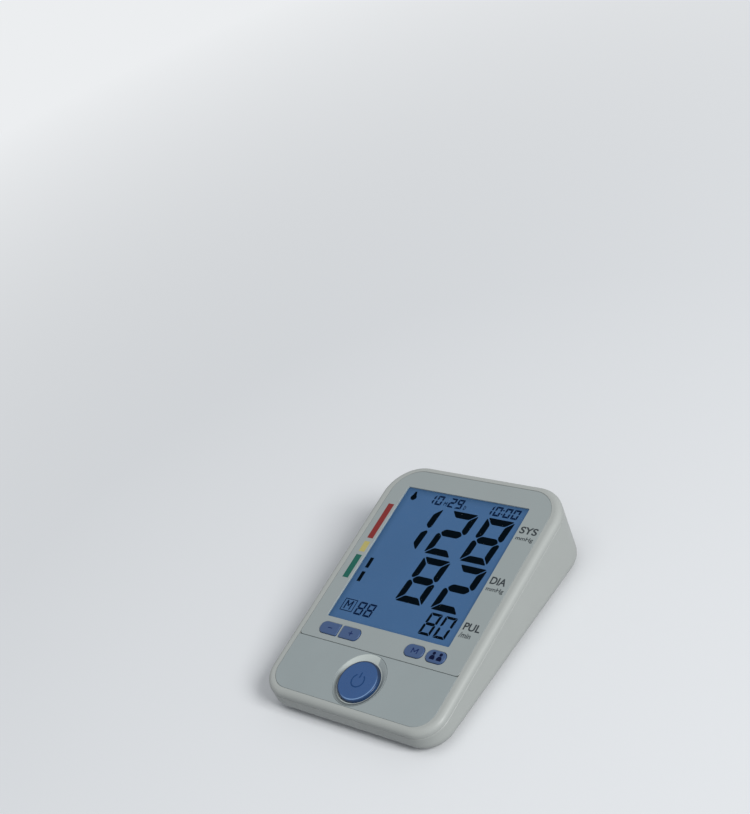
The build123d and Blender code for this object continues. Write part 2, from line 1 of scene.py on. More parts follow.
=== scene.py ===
import json
from math import cos, pi, radians, sin

import bmesh
import bpy
from mathutils import Matrix, Vector


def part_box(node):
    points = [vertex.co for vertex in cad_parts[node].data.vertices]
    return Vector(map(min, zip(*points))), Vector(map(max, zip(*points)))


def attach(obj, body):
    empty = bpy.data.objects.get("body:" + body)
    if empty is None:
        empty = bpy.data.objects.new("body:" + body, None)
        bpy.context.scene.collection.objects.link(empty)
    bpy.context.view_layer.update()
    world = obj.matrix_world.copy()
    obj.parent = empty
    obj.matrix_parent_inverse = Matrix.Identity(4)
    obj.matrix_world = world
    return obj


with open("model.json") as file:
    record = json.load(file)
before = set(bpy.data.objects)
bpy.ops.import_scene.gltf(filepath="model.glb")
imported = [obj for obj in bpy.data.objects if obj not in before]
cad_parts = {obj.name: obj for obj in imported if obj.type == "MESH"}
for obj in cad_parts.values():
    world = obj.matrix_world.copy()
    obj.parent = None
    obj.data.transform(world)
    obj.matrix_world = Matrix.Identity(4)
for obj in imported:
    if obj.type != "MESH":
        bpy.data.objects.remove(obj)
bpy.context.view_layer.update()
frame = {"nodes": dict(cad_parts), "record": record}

# Sizes are in millimetres on the sloping face: x across, s up the slope, n outwards from it.
MM = 0.001
FACE_HEIGHT = 26.1  # above the floor, at s = 0
FACE_ANGLE = radians(9)
WINDOW_LEFT = -40.4
WINDOW_LOW = -26.1
PITCH = 1.1  # one unit of the drawing grid, which is 70 units across the window
LCD_DEPTH = 1.6  # display film, under the face
LCD_SHIFT = (-1.4, 0.9)  # centres the display's figures as seen from the front right
LCD_LIFT = 0.005  # gap between the display film and its figures
LCD_INK = 0.05  # thickness of the display's figures
INK = 0.04  # thickness of all other prints
INK_SUNK = 0.01  # how far those prints reach into what they are printed on

START_SLOPE = -55.4
START_PROUD = 0.7
# Painted light and shade round START: a highlight ring on its bevel, shade on its rolled edge, a
# highlight ring on the dish's lip and shade in the dish below START.
START_HIGHLIGHT_RADIUS = 10.3  # radii from the middle of START
START_SHADED_EDGE = (10.2, 10.5)
LIP_HIGHLIGHT_EDGE = (12.0, 12.2)
SHADED_ARC_FADE = (12.8, 13.9)
DISH_SLOPE = -54.5
DISH_LIP = 14.5
# The painted light on the dish's upper-left wall stops this far right of the dish's middle.
LIT_CRESCENT_END = 4.6
# Depth under the face of the seam groove and of the painted shade line along it.
SEAM_DEPTH = 3.7

KEY_SLOPE = -32.7
KEY_PROUD = 0.5
KEY_CENTRES = {"minus": -34.0, "plus": -20.45, "memory": 20.0, "user": 33.0}
KEY_MARK_SHIFT = 0.5  # the marks stand this far right of the keys' middles

BAR_SIDES = (-4.95, -1.65)  # the pressure bars' left and right, on the drawing grid
LABEL_LEFT = 71.4
LABEL_WEIGHT = 0.022
UNIT_WEIGHT = 0.012

TO_WORLD = Matrix((
    (MM, 0, 0, 0),
    (0, MM * cos(FACE_ANGLE), -MM * sin(FACE_ANGLE), 0),
    (0, MM * sin(FACE_ANGLE), MM * cos(FACE_ANGLE), MM * FACE_HEIGHT),
    (0, 0, 0, 1),
))


# ---- node helpers ----
def linear(red, green, blue):
    """Linear colour of an 8-bit sRGB colour."""
    def one(value):
        value /= 255
        return value / 12.92 if value <= 0.04045 else ((value + 0.055) / 1.055) ** 2.4
    return one(red), one(green), one(blue), 1.0


class Tree:
    """A material's node tree with short ways to add and join nodes."""

    def __init__(self, name):
        self.material = bpy.data.materials.new(name)
        self.material.use_nodes = True
        self.nodes = self.material.node_tree.nodes
        self.links = self.material.node_tree.links
        self.shader = self.nodes["Principled BSDF"]
        self.output = self.nodes["Material Output"]

    def add(self, kind, **settings):
        node = self.nodes.new("ShaderNode" + kind)
        for key, value in settings.items():
            setattr(node, key, value)
        return node

    def join(self, source, target):
        self.links.new(source, target)

    def place(self):
        """Object coordinates, in metres."""
        return self.add("TexCoord").outputs["Object"]

    def noise(self, size_mm, detail=3.0, stretch=None):
        """Noise whose features are about this large."""
        node = self.add("TexNoise")
        node.inputs["Scale"].default_value = 1 / (size_mm * MM)
        node.inputs["Detail"].default_value = detail
        source = self.place()
        if stretch:
            mapping = self.add("Mapping")
            mapping.inputs["Scale"].default_value = stretch
            self.join(source, mapping.inputs["Vector"])
            source = mapping.outputs["Vector"]
        self.join(source, node.inputs["Vector"])
        return node.outputs["Fac"]

    def math(self, operation, *values):
        """Result of a Math node. Values are numbers or sockets."""
        node = self.add("Math", operation=operation)
        for socket, value in zip(node.inputs, values):
            if isinstance(value, (int, float)):
                socket.default_value = value
            else:
                self.join(value, socket)
        return node.outputs[0]

    def spread(self, source, low, high, from_low=0.35, from_high=0.65):
        """Source, mapped onto a range."""
        node = self.add("MapRange")
        node.inputs["From Min"].default_value = from_low
        node.inputs["From Max"].default_value = from_high
        node.inputs["To Min"].default_value = low
        node.inputs["To Max"].default_value = high
        self.join(source, node.inputs["Value"])
        return node.outputs["Result"]

    def rise(self, source, start, end):
        """0 up to the start and 1 from the end on, both in millimetres."""
        return self.spread(source, 0.0, 1.0, start * MM, end * MM)

    def fall(self, source, start, end):
        """1 up to the start and 0 from the end on, both in millimetres."""
        return self.spread(source, 1.0, 0.0, start * MM, end * MM)

    def blend(self, factor, first, second):
        """Colour mix. First and second are colours or sockets."""
        node = self.add("Mix", data_type="RGBA")
        self.join(factor, node.inputs[0])
        for socket, value in ((node.inputs[6], first), (node.inputs[7], second)):
            if isinstance(value, tuple):
                socket.default_value = value
            else:
                self.join(value, socket)
        return node.outputs[2]

    def length(self, x, s):
        """Distance of (x, s) from nought."""
        squares = [self.math("MULTIPLY", value, value) for value in (x, s)]
        return self.math("SQRT", self.math("ADD", *squares))

    def on_face(self):
        """The point's x, its place up the face's slope and its height over the face, in metres."""
        axes = self.add("SeparateXYZ")
        self.join(self.place(), axes.inputs[0])
        y = axes.outputs["Y"]
        height = self.math("SUBTRACT", axes.outputs["Z"], FACE_HEIGHT * MM)
        up_slope = self.math("ADD", self.math("MULTIPLY", y, cos(FACE_ANGLE)),
                             self.math("MULTIPLY", height, sin(FACE_ANGLE)))
        outwards = self.math("SUBTRACT", self.math("MULTIPLY", height, cos(FACE_ANGLE)),
                             self.math("MULTIPLY", y, sin(FACE_ANGLE)))
        return axes.outputs["X"], up_slope, outwards

    def bump(self, height, depth_mm):
        node = self.add("Bump")
        node.inputs["Strength"].default_value = 1.0
        node.inputs["Distance"].default_value = depth_mm * MM
        self.join(height, node.inputs["Height"])
        return node.outputs["Normal"]


def shade(colour, factor):
    """A colour made lighter or darker."""
    return tuple(channel * factor for channel in colour[:3]) + (1.0,)


def moulded_tree(name, colour, roughness=0.45, grain_mm=0.35, grain_depth=0.012, mottle=0.05,
                 specular=0.5):
    """Moulded plastic: a fine spark-eroded grain, faint flow mottling and uneven sheen."""
    tree = Tree(name)
    flow = tree.spread(tree.noise(22.0, 2.0), 0.0, 1.0)
    fine = tree.noise(grain_mm, 2.0)
    light = shade(colour, 1 + mottle)
    tone = tree.blend(flow, shade(colour, 1 - mottle), light)
    speck = tree.spread(fine, 0.0, 1.0, 0.3, 0.7)
    speckled = tree.blend(speck, tone, light)
    tree.join(tree.blend(speck, tone, speckled), tree.shader.inputs["Base Color"])
    sheen = tree.spread(tree.noise(6.0, 3.0), roughness * 0.93, roughness * 1.08)
    tree.join(sheen, tree.shader.inputs["Roughness"])
    tree.join(tree.bump(fine, grain_depth), tree.shader.inputs["Normal"])
    tree.shader.inputs["Specular IOR Level"].default_value = specular
    return tree


def moulded(*look, **more):
    """Material of moulded_tree."""
    return moulded_tree(*look, **more).material


def dished_shell(name):
    """The top shell: pale, with painted shade along its seam and a grey dish round START.

    The dish has painted light on its upper-left wall, a painted highlight on the lip round START
    and painted shade in its lower part, next to START.
    """
    tree = moulded_tree(name, TOP_RIM, 0.42, grain_depth=0.010, mottle=0.015, specular=0.35)
    shell = tree.shader.inputs["Base Color"].links[0].from_socket
    x, along, outwards = tree.on_face()
    s = tree.math("SUBTRACT", along, DISH_SLOPE * MM)
    inside = tree.fall(tree.length(x, s), DISH_LIP, DISH_LIP + 0.1)
    # Painted light: the dish's upper-left wall, which faces the light, is drawn paler; it fades out
    # down the left side and stops short of the right.
    above = tree.rise(s, 0.0, 7.0)
    left = tree.fall(x, LIT_CRESCENT_END, LIT_CRESCENT_END + 0.2)
    from_start = tree.length(x, tree.math("SUBTRACT", along, START_SLOPE * MM))
    # Painted highlight: a pale ring on the dish's lip close round START.
    lip_highlight = tree.fall(from_start, *LIP_HIGHLIGHT_EDGE)
    pale = tree.math("MAXIMUM", lip_highlight, tree.math("MULTIPLY", above, left))
    # Painted shade: the dish's lower part next to START is drawn darker.
    below = tree.fall(s, -1.0, 8.0)
    shaded_arc = tree.math("MULTIPLY", below, tree.fall(from_start, *SHADED_ARC_FADE))
    dish = tree.blend(pale, tree.blend(shaded_arc, FASCIA, shade(FASCIA, 0.45)), LIT_CRESCENT)
    # Painted shade: a dark line along the seam groove under the face.
    from_seam = tree.math("ABSOLUTE", tree.math("ADD", outwards, SEAM_DEPTH * MM))
    seam_shaded = tree.blend(tree.fall(from_seam, 0.15, 0.4), shell, shade(TOP_RIM, 0.5))
    tree.join(tree.blend(inside, seam_shaded, dish), tree.shader.inputs["Base Color"])
    return tree.material


def start_cap(name):
    """START: satin blue, with painted shade on its rolled edge and a painted highlight on the
    bevel's lower right.
    """
    tree = moulded_tree(name, START_BLUE, 0.28, grain_mm=0.5, grain_depth=0.003, mottle=0.04,
                        specular=0.35)
    blue = tree.shader.inputs["Base Color"].links[0].from_socket
    x, along, _ = tree.on_face()
    s = tree.math("SUBTRACT", along, START_SLOPE * MM)
    out = tree.length(x, s)
    # Painted highlight: a light ring on START's bevel, only on its lower right, the side facing the
    # light.
    from_bevel = tree.math("ABSOLUTE", tree.math("SUBTRACT", out, START_HIGHLIGHT_RADIUS * MM))
    line = tree.fall(from_bevel, 0.1, 0.35)
    facing = tree.rise(tree.math("SUBTRACT", x, s), 3.0, 11.0)
    highlighted = tree.blend(tree.math("MULTIPLY", line, facing), blue, BEVEL_HIGHLIGHT)
    # Painted shade: the rolled edge is drawn darker, darkest on the upper left, away from the
    # light, and narrower on the lower right.
    thinned = tree.math("SUBTRACT", out, tree.math("MULTIPLY", facing, 0.4 * MM))
    edge = tree.rise(thinned, *START_SHADED_EDGE)
    dark = tree.blend(facing, shade(START_BLUE, 0.3), shade(START_BLUE, 0.6))
    tree.join(tree.blend(edge, highlighted, dark), tree.shader.inputs["Base Color"])
    return tree.material


def metal(name, colour, roughness=0.3, stretch=(1, 12, 1)):
    """Bare metal with drawn lines and small differences in polish."""
    tree = Tree(name)
    lines = tree.noise(0.6, 4.0, stretch)
    tree.join(tree.blend(tree.spread(lines, 0.0, 1.0), shade(colour, 0.85), colour),
              tree.shader.inputs["Base Color"])
    tree.join(tree.spread(lines, roughness - 0.06, roughness + 0.1),
              tree.shader.inputs["Roughness"])
    tree.join(tree.bump(lines, 0.006), tree.shader.inputs["Normal"])
    tree.shader.inputs["Metallic"].default_value = 1.0
    return tree.material


def window_pane(name):
    """Clear low-glare acrylic: see-through from above, a mirror at a low angle, faintly hazed."""
    tree = Tree(name)
    clear = tree.add("BsdfTransparent")
    clear.inputs["Color"].default_value = (0.97, 0.985, 1.0, 1.0)
    tree.shader.inputs["Base Color"].default_value = (0.9, 0.92, 0.94, 1.0)
    tree.shader.inputs["Metallic"].default_value = 1.0
    tree.join(tree.spread(tree.noise(9.0, 4.0), 0.04, 0.12), tree.shader.inputs["Roughness"])
    tilt = tree.add("LayerWeight")
    tilt.inputs["Blend"].default_value = 0.5
    glance = tree.math("MULTIPLY", tree.math("POWER", tilt.outputs["Facing"], 8.0), 0.9)
    mix = tree.add("MixShader")
    tree.join(glance, mix.inputs[0])
    tree.join(clear.outputs[0], mix.inputs[1])
    tree.join(tree.shader.outputs[0], mix.inputs[2])
    tree.join(mix.outputs[0], tree.output.inputs["Surface"])
    return tree.material


def display_film(name):
    """Face of the backlit display: even blue, darkened towards its border by painted shade of the
    window's edge and painted falloff of the backlight.
    """
    tree = Tree(name)
    middle = linear(42, 64, 90)
    # Painted shade: the border's darker blue.
    border = linear(34, 52, 72)
    fade = 3.0 * MM
    low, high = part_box("window_lens")
    axes = tree.add("SeparateXYZ")
    tree.join(tree.place(), axes.inputs[0])

    def inset(socket, start, end):
        """0 up to the border's inner edges at start and end, 1 between them past the fade."""
        near = tree.spread(axes.outputs[socket], 0.0, 1.0, start, start + fade)
        far = tree.spread(axes.outputs[socket], 0.0, 1.0, end, end - fade)
        return tree.math("MULTIPLY", near, far)

    # The painted border shade is 2 mm wide on the left and at the back, where the window's edge
    # casts it, 1.2 on the right and 1 at the front.
    across = inset("X", low.x + 2 * MM, high.x - 1.2 * MM)
    along = inset("Y", low.y + 1 * MM, high.y - 2 * MM)
    lit = tree.math("MULTIPLY", across, along)
    cloud = tree.spread(tree.noise(30.0, 2.0), 0.93, 1.05)
    tone = tree.blend(lit, border, middle)
    grain = tree.add("HueSaturation")
    tree.join(tone, grain.inputs["Color"])
    tree.join(cloud, grain.inputs["Value"])
    tree.join(grain.outputs[0], tree.shader.inputs["Base Color"])
    tree.join(tree.spread(tree.noise(0.3, 2.0), 0.38, 0.5), tree.shader.inputs["Roughness"])
    tree.join(tree.bump(tree.noise(0.12, 1.0), 0.002), tree.shader.inputs["Normal"])
    tree.shader.inputs["Specular IOR Level"].default_value = 0.1
    tree.shader.inputs["Emission Color"].default_value = linear(128, 188, 255)
    tree.shader.inputs["Emission Strength"].default_value = 0.155
    return tree.material


def printed(name, colour, roughness=0.5, specular=0.15):
    """Screen-printed ink: slightly uneven coverage."""
    tree = Tree(name)
    cover = tree.spread(tree.noise(0.8, 3.0), 0.0, 1.0)
    tree.join(tree.blend(cover, shade(colour, 0.95), shade(colour, 1.04)),
              tree.shader.inputs["Base Color"])
    tree.join(tree.spread(tree.noise(0.2, 2.0), roughness - 0.08, roughness + 0.08),
              tree.shader.inputs["Roughness"])
    tree.join(tree.bump(tree.noise(0.15, 1.0), 0.004), tree.shader.inputs["Normal"])
    tree.shader.inputs["Specular IOR Level"].default_value = specular
    return tree.material


def circuit_board(name):
    """Green solder mask over a faint net of tracks."""
    tree = Tree(name)
    tracks = tree.add("TexBrick")
    tracks.inputs["Scale"].default_value = 220
    tracks.inputs["Mortar Size"].default_value = 0.02
    tree.join(tree.place(), tracks.inputs["Vector"])
    tree.join(tree.blend(tracks.outputs["Fac"], linear(16, 92, 48), linear(40, 124, 66)),
              tree.shader.inputs["Base Color"])
    tree.join(tree.spread(tree.noise(2.0), 0.25, 0.4), tree.shader.inputs["Roughness"])
    tree.join(tree.bump(tracks.outputs["Fac"], 0.02), tree.shader.inputs["Normal"])
    return tree.material


def cell_jacket(name):
    """Round cells: a dark jacket with a copper-coloured band, bare metal on the flat ends."""
    tree = Tree(name)
    geometry = tree.add("NewGeometry")
    facing = tree.add("SeparateXYZ")
    tree.join(geometry.outputs["Normal"], facing.inputs[0])
    flat = tree.math("ABSOLUTE", facing.outputs["Y"])
    end = tree.spread(flat, 0.0, 1.0, 0.85, 0.95)
    axes = tree.add("SeparateXYZ")
    tree.join(tree.place(), axes.inputs[0])
    band = tree.rise(axes.outputs["Y"], 52.0, 52.2)
    jacket = tree.blend(band, linear(36, 38, 44), linear(176, 132, 74))
    tree.join(tree.blend(end, jacket, linear(190, 190, 186)), tree.shader.inputs["Base Color"])
    tree.join(end, tree.shader.inputs["Metallic"])
    tree.join(tree.spread(tree.noise(1.5), 0.22, 0.34), tree.shader.inputs["Roughness"])
    return tree.material


RIM = linear(165, 169, 166)
TOP_RIM = linear(164, 168, 165)
PANEL = linear(147, 155, 155)
FASCIA = linear(144, 153, 154)
# Painted light on the dish's upper-left wall.
LIT_CRESCENT = linear(184, 192, 189)
KEY = linear(55, 79, 118)
START_BLUE = linear(40, 78, 128)
# Painted highlight on START's bevel.
BEVEL_HIGHLIGHT = linear(124, 158, 198)

finishes = {
    "case_white": moulded("case_shell", RIM, 0.42, grain_depth=0.010, mottle=0.015, specular=0.35),
    "panel_grey": moulded("panel_satin", PANEL, 0.4, grain_mm=0.22, grain_depth=0.006,
                          mottle=0.012, specular=0.35),
    "fascia_grey": moulded("fascia_satin", FASCIA, 0.4, grain_mm=0.25, grain_depth=0.008,
                           mottle=0.02, specular=0.35),
    "button_blue": start_cap("start_blue"),
    "key_blue": moulded("key_blue", KEY, 0.36, grain_mm=0.3, grain_depth=0.006, mottle=0.05,
                        specular=0.35),
    "clear_window": window_pane("window_acrylic"),
    "lcd_face": display_film("display_film"),
    "lcd_glass": moulded("thin_glass", linear(200, 214, 214), 0.08, grain_depth=0.0005,
                         mottle=0.02),
    "lcd_film": moulded("grey_film", linear(150, 156, 156), 0.3, grain_depth=0.001),
    "light_guide": moulded("light_guide", linear(205, 218, 230), 0.2, grain_depth=0.002,
                           mottle=0.02),
    "inner_white": moulded("inner_mouldings", linear(212, 212, 206), 0.5),
    "board_green": circuit_board("circuit_board"),
    "black_plastic": moulded("black_mouldings", linear(34, 35, 37), 0.45),
    "socket_grey": moulded("socket_grey", linear(120, 124, 126), 0.42),
    "steel": metal("zinc_plate", linear(176, 178, 180)),
    "iron": metal("laminated_iron", linear(110, 110, 112), 0.5, (1, 30, 1)),
    "copper": metal("copper_winding", linear(190, 112, 72), 0.35, (1, 40, 1)),
    "nickel": metal("nickel_plate", linear(206, 203, 196), 0.2),
    "silicone": moulded("milky_silicone", linear(214, 214, 208), 0.35, grain_depth=0.003),
    "grey_rubber": moulded("soft_rubber", linear(92, 95, 98), 0.75, grain_mm=0.5, grain_depth=0.03,
                           mottle=0.1, specular=0.3),
    "foam": moulded("cell_foam", linear(58, 58, 60), 0.9, grain_mm=0.8, grain_depth=0.2,
                    mottle=0.25),
    "paper_cone": moulded("cone_film", linear(52, 54, 58), 0.6, grain_mm=0.8, grain_depth=0.04),
    "battery_jacket": cell_jacket("cell_jacket"),
    "wire_red": moulded("wire_jacket", linear(160, 40, 38), 0.4, grain_depth=0.004),
}
for row in frame["record"]["subparts"]:
    mesh = frame["nodes"][row["node"]].data
    mesh.materials.clear()
    mesh.materials.append(finishes[row["material_slot"]])
top_mesh = frame["nodes"]["top_housing"].data
top_mesh.materials.clear()
top_mesh.materials.append(dished_shell("top_shell"))

lcd_ink = printed("display_segments", linear(7, 15, 21), 0.6, 0.0)
label_ink = printed("label_ink", linear(50, 56, 60))
fine_ink = printed("display_small_segments", linear(12, 30, 58), 0.6, 0.0)
red_ink = printed("red_ink", linear(126, 43, 42))
yellow_ink = printed("yellow_ink", linear(176, 166, 103))
green_ink = printed("green_ink", linear(28, 92, 80))
key_ink = printed("key_ink", linear(22, 40, 88), 0.6, 0.1)
figure_ink = printed("figure_ink", linear(10, 17, 48), 0.6, 0.05)
start_ink = printed("start_ink", linear(28, 63, 109), 0.6, 0.1)


# ---- flat shapes, as lists of (x, s) corners ----
def on_grid(u, v):
    """Place on the face of a point of the display's drawing grid."""
    return WINDOW_LEFT + u * PITCH, WINDOW_LOW + v * PITCH


def box_shape(left, right, low, high):
    return [(left, low), (right, low), (right, high), (left, high)]


def grid_box(left, right, low, high):
    """Rectangle given on the drawing grid."""
    return [on_grid(*corner) for corner in box_shape(left, right, low, high)]


def round_shape(x, s, radius, points=32):
    return [(x + radius * cos(2 * pi * i / points), s + radius * sin(2 * pi * i / points))
            for i in range(points)]


def ring_shapes(x, s, inner, outer, start, end, steps):
    """Stretch of a ring between two angles in degrees, as a row of four-sided pieces."""
    def at(radius, i):
        angle = radians(start + (end - start) * i / steps)
        return x + radius * cos(angle), s + radius * sin(angle)
    return [[at(inner, i), at(outer, i), at(outer, i + 1), at(inner, i + 1)] for i in range(steps)]


def stroke_shape(start, end, width):
    """Straight stroke with square ends between two points."""
    along = Vector(end) - Vector(start)
    side = Vector((-along.y, along.x)).normalized() * width / 2
    return [tuple(Vector(start) - side), tuple(Vector(end) - side),
            tuple(Vector(end) + side), tuple(Vector(start) + side)]


def soften(shape, reach):
    """The same outline with each corner rounded off, at most this far along its sides."""
    rounded = []
    for before, corner, after in zip(shape[-1:] + shape[:-1], shape, shape[1:] + shape[:1]):
        here = Vector(corner)
        ends = []
        for other in (before, after):
            side = Vector(other) - here
            ends.append(here + side * min(reach / side.length, 0.45))
        rounded += [tuple(ends[0]), tuple((ends[0] + ends[1] + 2 * here) / 4), tuple(ends[1])]
    return rounded


# Lit segments: a is the top bar, b to f run clockwise from it and g is the middle bar.
SEGMENTS = {"0": "abcdef", "1": "bc", "2": "abged", "8": "abcdefg", "9": "abcdfg"}
SLANT = 0.085  # sideways lean of the digits, for each unit of height


def seven_segment(digit, left, right, low, high, stroke, gap):
    """Lit segments of one digit on the drawing grid, leaning a little to the right."""
    width = right - left
    height = high - low
    middle = height / 2
    half = stroke * 0.56  # half the thickness of the middle bar
    cut = gap * 0.7  # what each segment loses at its ends
    tip = stroke * 0.35  # how far an upright's point is set in from its outer side

    def upright(outer, inner, bottom):
        """One vertical bar: mitred at the digit's end, pointed where it meets the middle bar."""
        end, sign = (0, 1) if bottom else (height, -1)
        point = outer + tip if inner > outer else outer - tip
        return [(outer, end + sign * cut), (outer, middle - sign * (0.8 * tip + cut)),
                (point, middle - sign * 1.3 * cut), (inner, middle - sign * (half + cut)),
                (inner, end + sign * (stroke + cut))]

    def placed(shape):
        return [on_grid(left + x + (y - middle) * SLANT, low + y)
                for x, y in soften(shape, stroke * 0.25)]

    shapes = {
        "a": [(cut, height), (width - cut, height), (width - stroke - cut, height - stroke),
              (stroke + cut, height - stroke)],
        "d": [(cut, 0), (width - cut, 0), (width - stroke - cut, stroke), (stroke + cut, stroke)],
        "g": [(tip + cut, middle), (stroke, middle + half), (width - stroke, middle + half),
              (width - tip - cut, middle), (width - stroke, middle - half),
              (stroke, middle - half)],
        "b": upright(width, width - stroke, False),
        "c": upright(width, width - stroke, True),
        "e": upright(0, stroke, True),
        "f": upright(0, stroke, False),
    }
    return [placed(shapes[key]) for key in SEGMENTS[digit]]


def digits(text, lefts, width, low, high, stroke, gap):
    """Row of seven-segment digits, each starting at its own place."""
    return [shape for digit, left in zip(text, lefts)
            for shape in seven_segment(digit, left, left + width, low, high, stroke, gap)]


# ---- meshes ----
def finish_piece(name, mesh, material, body):
    """Adds a finished mesh to the scene. It rides on the body."""
    mesh.materials.append(material)
    piece = bpy.data.objects.new(name, mesh)
    bpy.context.scene.collection.objects.link(piece)
    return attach(piece, body)


def plates(name, shapes, base, top, material, body="case"):
    """Thin raised plates with the given outlines, between two heights above the face."""
    made = bmesh.new()
    for shape in shapes:
        area = sum(a[0] * b[1] - b[0] * a[1] for a, b in zip(shape, shape[1:] + shape[:1]))
        corners = shape if area > 0 else shape[::-1]
        lower = [made.verts.new((x, s, base)) for x, s in corners]
        upper = [made.verts.new((x, s, top)) for x, s in corners]
        made.faces.new(lower[::-1])
        made.faces.new(upper)
        for i in range(len(corners)):
            j = (i + 1) % len(corners)
            made.faces.new((lower[i], lower[j], upper[j], upper[i]))
    made.transform(TO_WORLD)
    mesh = bpy.data.meshes.new(name)
    made.to_mesh(mesh)
    made.free()
    return finish_piece(name, mesh, material, body)


def label(name, text, right, low, high, weight):
    """Word beside the display, fitted to a box on the drawing grid. Weight thickens its strokes."""
    curve = bpy.data.curves.new(name, "FONT")
    curve.body = text
    curve.extrude = 0.5
    curve.offset = weight
    writer = bpy.data.objects.new(name + "_outline", curve)
    bpy.context.scene.collection.objects.link(writer)
    bpy.context.view_layer.update()
    mesh = bpy.data.meshes.new_from_object(writer)
    bpy.data.objects.remove(writer)
    bpy.data.curves.remove(curve)
    mesh.name = name
    xs = [v.co.x for v in mesh.vertices]
    ys = [v.co.y for v in mesh.vertices]
    text_left, text_right, text_low, text_high = min(xs), max(xs), min(ys), max(ys)
    (x0, s0), (x1, s1) = on_grid(LABEL_LEFT, low), on_grid(right, high)
    for v in mesh.vertices:
        across = (v.co.x - text_left) / (text_right - text_left)
        up = (v.co.y - text_low) / (text_high - text_low)
        v.co = (x0 + across * (x1 - x0), s0 + up * (s1 - s0), INK / 2 + v.co.z * INK)
    mesh.transform(TO_WORLD)
    mesh.materials.clear()
    return finish_piece(name, mesh, label_ink, "case")


def joined_strokes(points, width):
    """Strokes from each point to the next."""
    return [stroke_shape(*ends, width) for ends in zip(points, points[1:])]


def grid_strokes(points, width):
    """The same, with the points given on the drawing grid."""
    return joined_strokes([on_grid(*point) for point in points], width)


# ---- display ----
LCD_BASE = -LCD_DEPTH + LCD_LIFT
LARGE = (3.5, 0.55)  # stroke and gap of the large digits
SMALL = (0.95, 0.1)  # the same for the date and the time


def on_display(name, shapes, ink=lcd_ink):
    """Dark liquid crystal figures on the display film."""
    moved = [[(x + LCD_SHIFT[0], s + LCD_SHIFT[1]) for x, s in shape] for shape in shapes]
    return plates(name, moved, LCD_BASE, LCD_BASE + LCD_INK, ink)


on_display("systolic_digits", digits("128", (10.35, 30.75, 51.0), 15.3, 42.5, 67.5, *LARGE))
on_display("diastolic_digits", digits("82", (30.75, 51.0), 15.3, 15.6, 40.7, *LARGE))
on_display("pulse_digits", digits("80", (51.7, 59.9), 6.5, 2.4, 14.1, 1.35, 0.25))
on_display("memory_digits", digits("88", (13.15, 18.55), 4.3, 3.7, 10.8, 0.95, 0.15), fine_ink)
on_display("date_digits",
           digits("1029", (15.2, 19.9, 27.3, 31.7), 3.6, 68.8, 74.2, *SMALL), fine_ink)
on_display("time_digits",
           digits("1000", (48.8, 53.4, 58.9, 63.4), 3.6, 68.8, 74.2, *SMALL)
           + [round_shape(*on_grid(57.9, v), 0.45, 12) for v in (70.4, 72.6)], fine_ink)
on_display("month_and_day_marks",
           grid_strokes([(25.0, 69.2), (25.0, 71.4), (25.7, 70.2), (26.4, 71.4), (26.4, 69.2)],
                        0.35)
           + grid_strokes([(36.6, 69.0), (36.6, 71.2), (37.5, 70.7), (37.5, 69.5), (36.6, 69.0)],
                          0.35), fine_ink)
on_display("drop_icon", [
    round_shape(*on_grid(6.4, 70.6), 1.8),
    [on_grid(*corner) for corner in ((5.2, 71.5), (7.5, 71.5), (6.6, 74.0), (5.7, 74.0))]])
on_display("memory_box",
           [grid_box(4.4, 4.8, 4.2, 10.8), grid_box(11.2, 11.6, 4.2, 10.8),
            grid_box(4.8, 11.2, 4.2, 4.6), grid_box(4.8, 11.2, 10.4, 10.8)]
           + grid_strokes([(6.2, 5.2), (6.4, 9.9), (7.9, 7.0), (9.6, 9.9), (9.4, 5.2)], 0.7),
           fine_ink)
on_display("pressure_level_bars", [grid_box(3.9, 5.9, 28.2, 34.0), grid_box(3.9, 5.9, 20.4, 26.0)])

# ---- prints on the display panel ----
for bar, low, high, ink in (
        ("high", 43.9, 64.6, red_ink),
        ("raised", 36.0, 41.9, yellow_ink),
        ("normal", 20.9, 34.1, green_ink)):
    plates(f"{bar}_pressure_bar", [grid_box(*BAR_SIDES, low, high)], -INK_SUNK, INK, ink)
label("systolic_label", "SYS", 80.6, 62.5, 66.3, LABEL_WEIGHT)
label("systolic_unit", "mmHg", 80.6, 58.3, 61.0, UNIT_WEIGHT)
label("diastolic_label", "DIA", 79.6, 34.4, 38.2, LABEL_WEIGHT)
label("diastolic_unit", "mmHg", 80.6, 30.2, 32.9, UNIT_WEIGHT)
label("pulse_label", "PUL", 80.2, 9.7, 13.5, LABEL_WEIGHT)
label("pulse_unit", "/min", 77.4, 5.9, 8.6, UNIT_WEIGHT)


# ---- marks on the keys and on START ----
def on_key(name, shapes, ink=key_ink):
    """Print on top of a small key. It moves with the key."""
    centre = KEY_CENTRES[name] + KEY_MARK_SHIFT
    placed = [[(centre + x, KEY_SLOPE + s) for x, s in shape] for shape in shapes]
    return plates(f"{name}_mark", placed, KEY_PROUD - INK_SUNK, KEY_PROUD + INK, ink,
                  f"{name}_key")


def person(x):
    """Head and shoulders, this far from the key's middle."""
    shoulders = [(-1.4, -1.95), (1.4, -1.95), (1.5, -0.9), (0.8, 0.4), (-0.8, 0.4), (-1.5, -0.9)]
    return [round_shape(x, 1.45, 0.9, 20), [(x + u, s) for u, s in shoulders]]


on_key("minus", [box_shape(-1.3, 1.3, -0.25, 0.25)])
on_key("plus", [box_shape(-1.3, 1.3, -0.25, 0.25), box_shape(-0.25, 0.25, 0.25, 1.3),
                box_shape(-0.25, 0.25, -1.3, -0.25)])
on_key("memory", joined_strokes([(-1.6, -1.4), (-1.6, 1.4), (0, -0.5), (1.6, 1.4), (1.6, -1.4)],
                                0.5))
on_key("user", person(-2.05) + person(2.05), figure_ink)

